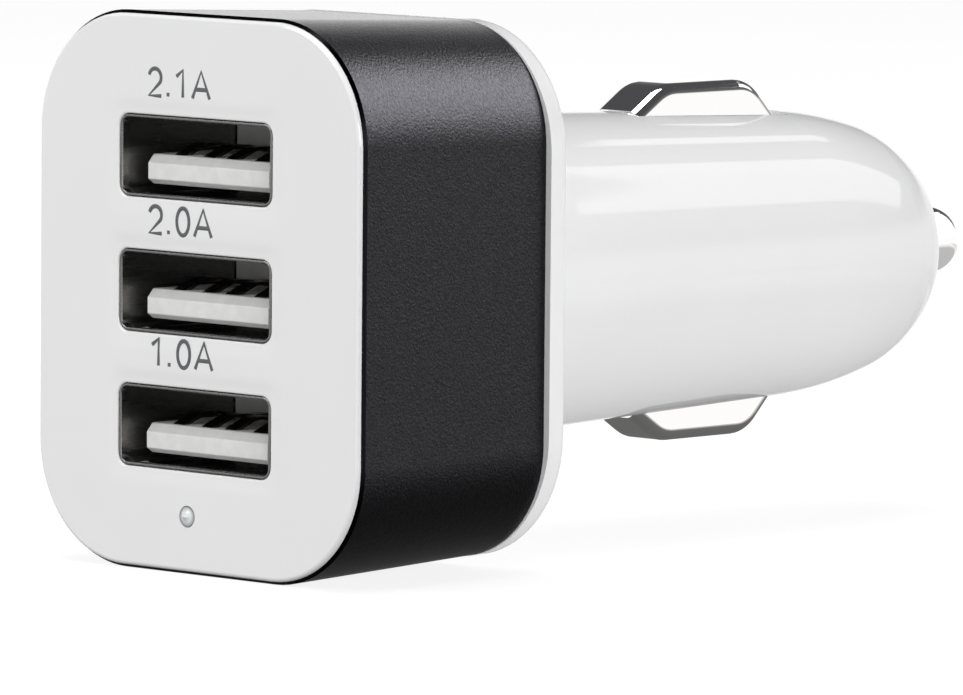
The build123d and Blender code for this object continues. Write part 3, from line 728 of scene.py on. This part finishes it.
class CHARGER_OT_ports(bpy.types.Operator):
    """Models the metal mouth, tongue and contact strips of a port once, and copies them to each port"""

    bl_idname = "charger.ports"
    bl_label = "Ports"

    def execute(self, context):
        ports = context.scene.charger_ports
        colours = context.scene.charger_finish
        # Grey and satin, with soft lines from the drawing of the tube; the grey is darkened as painted shade
        # for the inside of the port
        mouth_look = streaked_metal(
            "nickel_plated_steel", colours.mouth, rough=(0.2, 0.34), streak=0.4, stretch=(1, 0.1, 1)
        )
        # Warm white and silky, faintly mottled
        tongue_look = speckled_solid(
            "moulded_nylon", "#E4E4E1", colours.tongue, speck=0.8, rough=(0.32, 0.45)
        )
        # A thin flash of gold, darkened to a brownish grey as painted shade inside the port, with a satin
        # gleam
        strip_look = streaked_metal(
            "gold_flashed_contact", colours.gold, rough=(0.22, 0.34), streak=0.2, stretch=(1, 0.1, 1)
        )
        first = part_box("port_1_shell")
        mouth = self.mouth(ports, *first)
        tongue = self.tongue(ports, *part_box("port_1_insulator"))
        strips = self.strips(ports, *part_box("port_1_contacts"))
        made = (
            (mouth, mouth_look, "mouth", "nickel_plate", "shell"),
            (tongue, tongue_look, "tongue", "white_insulator", "insulator"),
            (strips, strip_look, "strips", "gold_contact", "contacts"),
        )
        for model, look, word, slot, node in made:
            for port in PORTS:
                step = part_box(f"port_{port}_shell")[0] - first[0]
                take(model)
                bpy.ops.object.duplicate()
                piece = context.active_object
                piece.name = piece.data.name = f"port_{port}_{word}"
                bpy.ops.transform.translate(value=step)
                bpy.ops.object.transform_apply(location=True, rotation=False, scale=False)
                settle(piece, look, "body", (f"port_{port}_{node}",), smooth=30.0)
            bpy.data.objects.remove(model)
        return {"FINISHED"}

    def mouth(self, ports, low, high):
        """The tube of a port's mouth, drawn in at the front to a lip that stands in the window."""
        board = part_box("port_board")[0].y
        tube = low.y + ports.lip_depth
        size = high - low
        piece = slab("mouth", (low.x, tube, low.z), (high.x, board, high.z), ports.corner, segments=6)
        pick("FACE", lambda f: at(f, Y, board))
        bpy.ops.mesh.delete(type="ONLY_FACE")
        pick("FACE", lambda f: at(f, Y, tube))
        push(y=-ports.lip_slope)
        bpy.ops.transform.resize(value=(ports.lip_width / size.x, 1, ports.lip_height / size.z))
        push(y=ports.lip_slope - ports.lip_depth)
        bpy.ops.mesh.delete(type="ONLY_FACE")
        modify(piece, "SOLIDIFY", thickness=ports.wall, offset=-1.0, use_even_offset=True)
        edit(piece)
        pick("EDGE", lambda e: at(e, Y, low.y) and not self.across(e, ports.wall))
        bpy.ops.mesh.bevel(offset=ports.lip_round, segments=3, affect="EDGES")
        return piece

    def across(self, edge, wall):
        """Whether an edge spans the wall's thickness."""
        return abs((edge.verts[1].co - edge.verts[0].co).length - wall) < wall / 20

    def tongue(self, ports, low, high):
        """The white block: base, tongue and the bevels of its nose."""
        base = high.y - ports.base
        top = (low.z + high.z) / 2
        side = ports.tongue_side
        piece = slab("tongue", (low.x, base, low.z), high, ports.corner - ports.wall, segments=4)
        for z in (top, top - ports.tongue_thick):
            pick("FACE", lambda f: at(f, Y, base))
            bpy.ops.mesh.bisect(plane_co=(0, base, z), plane_no=(0, 0, 1))
        for x in (low.x + side, high.x - side):
            pick("FACE", lambda f: at(f, Y, base))
            bpy.ops.mesh.bisect(plane_co=(x, base, top), plane_no=(1, 0, 0))
        pick("FACE", lambda f: at(f, Y, base) and self.inside(f, low.x + side, high.x - side, top, ports))
        full = low.y + ports.tongue_nose
        push(y=full - base)
        pick("FACE", lambda f: at(f, Y, full))
        push(y=low.y - full)
        width = high.x - low.x - 2 * side
        tip = ports.tongue_thick - ports.tongue_top - ports.tongue_low
        bpy.ops.transform.resize(value=(1 - 2 * ports.tongue_end / width, 1, tip / ports.tongue_thick))
        bpy.ops.transform.translate(value=(0, 0, (ports.tongue_low - ports.tongue_top) / 2))
        pick("EDGE", lambda e: max(v.co.y for v in e.verts) < full + 2 * HAIR)
        bpy.ops.mesh.bevel(offset=ports.tongue_edge, segments=2, affect="EDGES")
        return piece

    def inside(self, face, left, right, top, ports):
        """Whether a face lies within the tongue's section."""
        centre = face.calc_center_median()
        return left < centre.x < right and top - ports.tongue_thick < centre.z < top

    def strips(self, ports, low, high):
        """The four contact strips of a port, bowed up over the tongue."""
        rest = high.z - ports.strip_thick / 2
        crest = rest + ports.strip_rise
        front = low.y
        bow = front + ports.strip_bow
        level = bow + ports.strip_crest
        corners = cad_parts["port_1_contacts"].data.vertices
        sides = sorted({round(v.co.x, 6) for v in corners})
        made = []
        for left, right in zip(sides[::2], sides[1::2]):
            x = (left + right) / 2
            points = [
                (x, front, rest - ports.strip_dip),
                (x, front + ports.strip_lead, rest),
                (x, bow, crest),
                (x, level, crest),
                (x, level + ports.strip_fall, rest),
                (x, high.y, rest),
            ]
            made.append(strip("strip", points, ports.strip_width, ports.strip_thick, ports.strip_bend))
        clear_hands()
        for piece in made:
            piece.select_set(True)
        bpy.context.view_layer.objects.active = made[0]
        bpy.ops.object.join()
        return made[0]


class CHARGER_OT_ratings(bpy.types.Operator):
    """Prints the current rating over each port"""

    bl_idname = "charger.ratings"
    bl_label = "Ratings"

    def execute(self, context):
        ports = context.scene.charger_ports
        colours = context.scene.charger_finish
        # Flat dark grey, a little uneven where the pad laid it down
        look = speckled_solid("pad_print_ink", "#555658", colours.ink, speck=0.15, rough=(0.45, 0.6))
        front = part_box("front_cover")[0].y
        for port, (words, left, base) in zip(PORTS, RATINGS):
            corner = Vector((left * MM, front, base * MM))
            piece = self.strokes(f"rating_{port}", words, corner, ports)
            bpy.ops.object.convert(target="CURVE")
            piece.data.bevel_depth = ports.letter_stroke / 2
            piece.data.bevel_resolution = 2
            piece.data.use_fill_caps = True
            bpy.ops.object.convert(target="MESH")
            edit(piece)
            bpy.ops.mesh.select_all(action="SELECT")
            bpy.ops.transform.resize(
                value=(1, ports.letter_thick / ports.letter_stroke, 1), center_override=(0, front, 0)
            )
            take(piece)
            piece.data.name = piece.name
            settle(piece, look, "body")
        return {"FINISHED"}

    def strokes(self, name, words, corner, ports):
        """The lines of a rating: a vertex drawn from point to point along each stroke."""
        piece = start(name, bpy.ops.mesh.primitive_plane_add, size=ports.letter_stroke, location=corner)
        bpy.ops.mesh.delete(type="VERT")
        pen = 0.0
        for figure in words:
            strokes, step = FIGURES[figure]
            for stroke in strokes:
                points = [corner + ports.letter_height * Vector((pen + x, 0, z)) for x, z in stroke]
                self.draw(points)
            pen += step
        take(piece)
        return piece

    def draw(self, points):
        """One stroke, from a new vertex onwards."""
        bpy.ops.mesh.select_all(action="DESELECT")
        bpy.ops.mesh.primitive_plane_add(size=HAIR, location=points[0])
        bpy.ops.mesh.merge(type="CENTER")
        for here, there in zip(points, points[1:]):
            push(*(there - here))


class CHARGER_OT_indicator(bpy.types.Operator):
    """Finishes the clear light pipe and the diode behind it"""

    bl_idname = "charger.indicator"
    bl_label = "Indicator"

    def execute(self, context):
        colours = context.scene.charger_finish
        dress(clear_acrylic(colours), "indicator_lens")
        # Epoxy over phosphor: pale yellow, cloudy and fairly glossy
        epoxy = speckled_solid("diode_epoxy", "#E7DDAA", "#F2ECC9", speck=0.3, rough=(0.2, 0.3))
        dress(epoxy, "indicator_diode")
        return {"FINISHED"}


class CHARGER_OT_housing(bpy.types.Operator):
    """Finishes the white flange, barrel and nose"""

    bl_idname = "charger.housing"
    bl_label = "Housing"

    def execute(self, context):
        dress(body_plastic(context), "rear_housing")
        return {"FINISHED"}


class CHARGER_OT_contacts(bpy.types.Operator):
    """Finishes the ground contacts and the centre contact"""

    bl_idname = "charger.contacts"
    bl_label = "Contacts"

    def execute(self, context):
        colours = context.scene.charger_finish
        # Near mirror, with a trace of the lines in the metal under the plating
        look = streaked_metal(
            "bright_nickel_plate",
            colours.plate,
            rough=(0.03, 0.07),
            streak=0.5,
            stretch=(1, 0.15, 1),
            bump=0.02,
        )
        dress(look, "upper_ground_contact", "lower_ground_contact", "centre_contact")
        return {"FINISHED"}


class CHARGER_OT_springs(bpy.types.Operator):
    """Models the coil behind the centre contact and the sprung fingers under the ground contacts"""

    bl_idname = "charger.springs"
    bl_label = "Springs"

    def execute(self, context):
        springs = context.scene.charger_springs
        # Grey and satin, streaked by the drawing die
        look = streaked_metal(
            "drawn_spring_steel", "#A9A8A4", rough=(0.22, 0.36), streak=0.2, stretch=(1, 1, 0.2)
        )
        self.coil(springs, look)
        self.finger(springs, look, "upper", 1)
        self.finger(springs, look, "lower", -1)
        # Yellow, with close rings from the lathe
        brass = streaked_metal("turned_brass", "#C9A45C", rough=(0.2, 0.3), streak=0.25, stretch=(1, 4, 1))
        dress(brass, "spring_seat")
        return {"FINISHED"}

    def coil(self, springs, look):
        """A round wire wound from the seat to the plunger's collar."""
        low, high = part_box("centre_spring")
        radius = (high.x - low.x - springs.wire) / 2
        piece = start(
            "tip_coil",
            bpy.ops.mesh.primitive_circle_add,
            vertices=12,
            radius=springs.wire / 2,
            location=(radius, low.y + springs.wire / 2, 0),
        )
        modify(
            piece,
            "SCREW",
            axis="Y",
            screw_offset=(high.y - low.y - springs.wire) / springs.turns,
            iterations=springs.turns,
            steps=32,
            render_steps=32,
            use_normal_calculate=True,
        )
        edit(piece)
        bpy.ops.mesh.select_all(action="DESELECT")
        bpy.ops.mesh.select_mode(type="EDGE")
        bpy.ops.mesh.select_non_manifold()
        bpy.ops.mesh.edge_face_add()
        bpy.ops.mesh.select_all(action="SELECT")
        bpy.ops.mesh.normals_make_consistent(inside=False)
        settle(piece, look, "body", ("centre_spring",), smooth=50.0)
        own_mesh(piece)

    def finger(self, springs, look, side, sign):
        """A bent finger from the board up to the inside of a ground contact."""
        low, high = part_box(f"{side}_ground_spring")
        thick = springs.finger_thick
        foot = min(abs(low.z), abs(high.z)) + thick / 2
        crest = max(abs(low.z), abs(high.z)) - thick / 2
        first = low.y
        level = first + springs.finger_crest
        behind = level + springs.finger_flat
        path = (
            (first, foot),
            (first + springs.finger_foot, foot),
            (first + springs.finger_knee, springs.finger_rise),
            (level, crest),
            (behind, crest),
            (behind + springs.finger_hook, crest - springs.finger_drop),
        )
        points = [(0, y, sign * z) for y, z in path]
        piece = strip(f"{side}_finger", points, springs.finger_width, thick, springs.finger_bend)
        settle(piece, look, "body", (f"{side}_ground_spring",))
        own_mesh(piece)


class CHARGER_OT_boards(bpy.types.Operator):
    """Finishes the circuit boards and what is soldered to them"""

    bl_idname = "charger.boards"
    bl_label = "Boards"

    def execute(self, context):
        # Solder mask over glass cloth: mottled green and silky
        mask = speckled_solid("solder_mask_board", "#1F5A36", "#2C7548", speck=1.2, rough=(0.25, 0.4))
        dress(mask, "port_board", "main_board")
        # Dark grey, dull and grainy
        ferrite = speckled_solid("pressed_ferrite", "#2E2E30", "#45464A", speck=0.25, rough=(0.5, 0.7))
        dress(ferrite, "power_inductor")
        # Pale grey, with fine lines along the can
        can = streaked_metal(
            "drawn_can_aluminium", "#C7C9CB", rough=(0.2, 0.34), streak=0.3, stretch=(1, 0.1, 1)
        )
        dress(can, "input_capacitor", "output_capacitor")
        # Black and dull, with a trace of the filler in the resin
        resin = speckled_solid("moulded_chip_resin", "#161617", "#222224", speck=0.2, rough=(0.4, 0.6))
        dress(resin, "converter_chip", "rectifier_diode", "chip_parts")
        return {"FINISHED"}


class CHARGER_OT_stage(bpy.types.Operator):
    """Lays the pale floor and sets the studio light and the camera"""

    bl_idname = "charger.stage"
    bl_label = "Stage"

    def execute(self, context):
        stage = context.scene.charger_stage
        self.floor(context)
        self.lights(context, stage)
        self.camera(context, stage)
        context.scene.view_settings.view_transform = "Standard"
        return {"FINISHED"}

    def floor(self, context):
        """A wide pale floor under the lowest point, which shows to the camera and lights no piece."""
        clear_hands()
        bpy.ops.mesh.primitive_plane_add(size=FLOOR_SIZE, location=(0, 0, CAD_BOX[0].z))
        floor = context.active_object
        floor.name = "floor"
        colours = context.scene.charger_finish
        # A lit table: an even dull white that still takes a faint shadow
        look = speckled_solid(
            "lit_white_table", "#808080", colours.floor, speck=40, rough=(0.7, 0.8), bump=0.0
        )
        shader = look.node_tree.nodes["Principled BSDF"]
        shader.inputs["Specular IOR Level"].default_value = 0.1
        shader.inputs["Emission Color"].default_value = (1, 1, 1, 1)
        shader.inputs["Emission Strength"].default_value = context.scene.charger_stage.glow
        floor.data.materials.append(look)
        floor.visible_diffuse = False
        floor.visible_glossy = False
        floor.visible_shadow = False

    def lights(self, context, stage):
        """A grey room, with broad soft lights in it and some cards that light single pieces."""
        world = bpy.data.worlds.new("studio_room")
        context.scene.world = world
        world.use_nodes = True
        tree = world.node_tree
        background = tree.nodes["Background"]
        place = add(tree, "ShaderNodeTexCoord").outputs["Generated"]
        height = add(tree, "ShaderNodeSeparateXYZ", {"Vector": place}).outputs["Z"]
        level = add(tree, "ShaderNodeMapRange", {"Value": height, "From Min": -1.0})
        walls = add(tree, "ShaderNodeValToRGB", {"Fac": level.outputs["Result"]})
        bands = walls.color_ramp.elements
        bands[0].color = linear(ROOM[0][1])
        bands[1].color = linear(ROOM[-1][1])
        for rise, code in ROOM[1:-1]:
            bands.new((rise + 1) / 2).color = linear(code)
        tree.links.new(walls.outputs["Color"], background.inputs["Color"])
        background.inputs["Strength"].default_value = stage.room
        for name, (place, towards, wide, tall, power_name, pieces) in LIGHTS.items():
            light = self.panel(name, place, towards, wide, tall, getattr(stage, power_name))
            if pieces:
                self.only(light, *pieces)

    def panel(self, name, place, towards, wide, tall, watts):
        """A rectangular light at a place, facing a point."""
        clear_hands()
        bpy.ops.object.light_add(type="AREA", location=place)
        light = bpy.context.active_object
        light.name = light.data.name = name
        light.data.shape = "RECTANGLE"
        light.data.size = wide
        light.data.size_y = tall
        light.data.energy = watts
        light.rotation_euler = (Vector(towards) - Vector(place)).to_track_quat("-Z", "Y").to_euler()
        return light

    def only(self, light, *names):
        """Keeps a light to the named pieces, as a card held close to them does."""
        group = bpy.data.collections.new(light.name + "_group")
        for name in names:
            group.objects.link(bpy.data.objects[name])
        light.light_linking.receiver_collection = group

    def camera(self, context, stage):
        """A long lens at the photograph's angle."""
        flat = math.cos(stage.elevation)
        back = Vector(
            (math.sin(stage.azimuth) * flat, -math.cos(stage.azimuth) * flat, math.sin(stage.elevation))
        )
        target = Vector((0, stage.target_y, stage.target_z))
        bpy.ops.object.camera_add(location=target + back * stage.distance)
        camera = context.active_object
        camera.name = "camera"
        right = Vector((0, 0, 1)).cross(back).normalized()
        up = back.cross(right)
        tilt = Matrix.Rotation(stage.roll, 3, back)
        axes = Matrix((tilt @ right, tilt @ up, back)).transposed()
        camera.rotation_euler = axes.to_euler()
        camera.data.sensor_width = stage.sensor
        camera.data.lens = stage.focal_length
        camera.data.clip_start = 0.05
        context.scene.camera = camera


class CHARGER_PT_panel(bpy.types.Panel):
    """Lists the steps that build the charger"""

    bl_idname = "CHARGER_PT_panel"
    bl_label = "Car Charger"
    bl_space_type = "VIEW_3D"
    bl_region_type = "UI"
    bl_category = "Charger"

    def draw(self, context):
        for step in STEPS:
            self.layout.operator(step.bl_idname)


GROUPS = {
    "charger_head": ChargerHead,
    "charger_ports": ChargerPorts,
    "charger_springs": ChargerSprings,
    "charger_finish": ChargerFinish,
    "charger_stage": ChargerStage,
}
STEPS = (
    CHARGER_OT_face,
    CHARGER_OT_band,
    CHARGER_OT_housing,
    CHARGER_OT_ports,
    CHARGER_OT_ratings,
    CHARGER_OT_indicator,
    CHARGER_OT_contacts,
    CHARGER_OT_springs,
    CHARGER_OT_boards,
    CHARGER_OT_stage,
)


def register():
    """Makes the groups, operators and panel known to Blender."""
    for name, group in GROUPS.items():
        bpy.utils.register_class(group)
        setattr(bpy.types.Scene, name, PointerProperty(type=group))
    for step in STEPS:
        bpy.utils.register_class(step)
    bpy.utils.register_class(CHARGER_PT_panel)


def unregister():
    """Takes them away again."""
    bpy.utils.unregister_class(CHARGER_PT_panel)
    for step in reversed(STEPS):
        bpy.utils.unregister_class(step)
    for name, group in reversed(GROUPS.items()):
        delattr(bpy.types.Scene, name)
        bpy.utils.unregister_class(group)


def main():
    """Builds every piece in order."""
    register()
    bpy.ops.charger.face()
    bpy.ops.charger.band()
    bpy.ops.charger.housing()
    bpy.ops.charger.ports()
    bpy.ops.charger.ratings()
    bpy.ops.charger.indicator()
    bpy.ops.charger.contacts()
    bpy.ops.charger.springs()
    bpy.ops.charger.boards()
    bpy.ops.charger.stage()


if __name__ == "__main__":
    main()
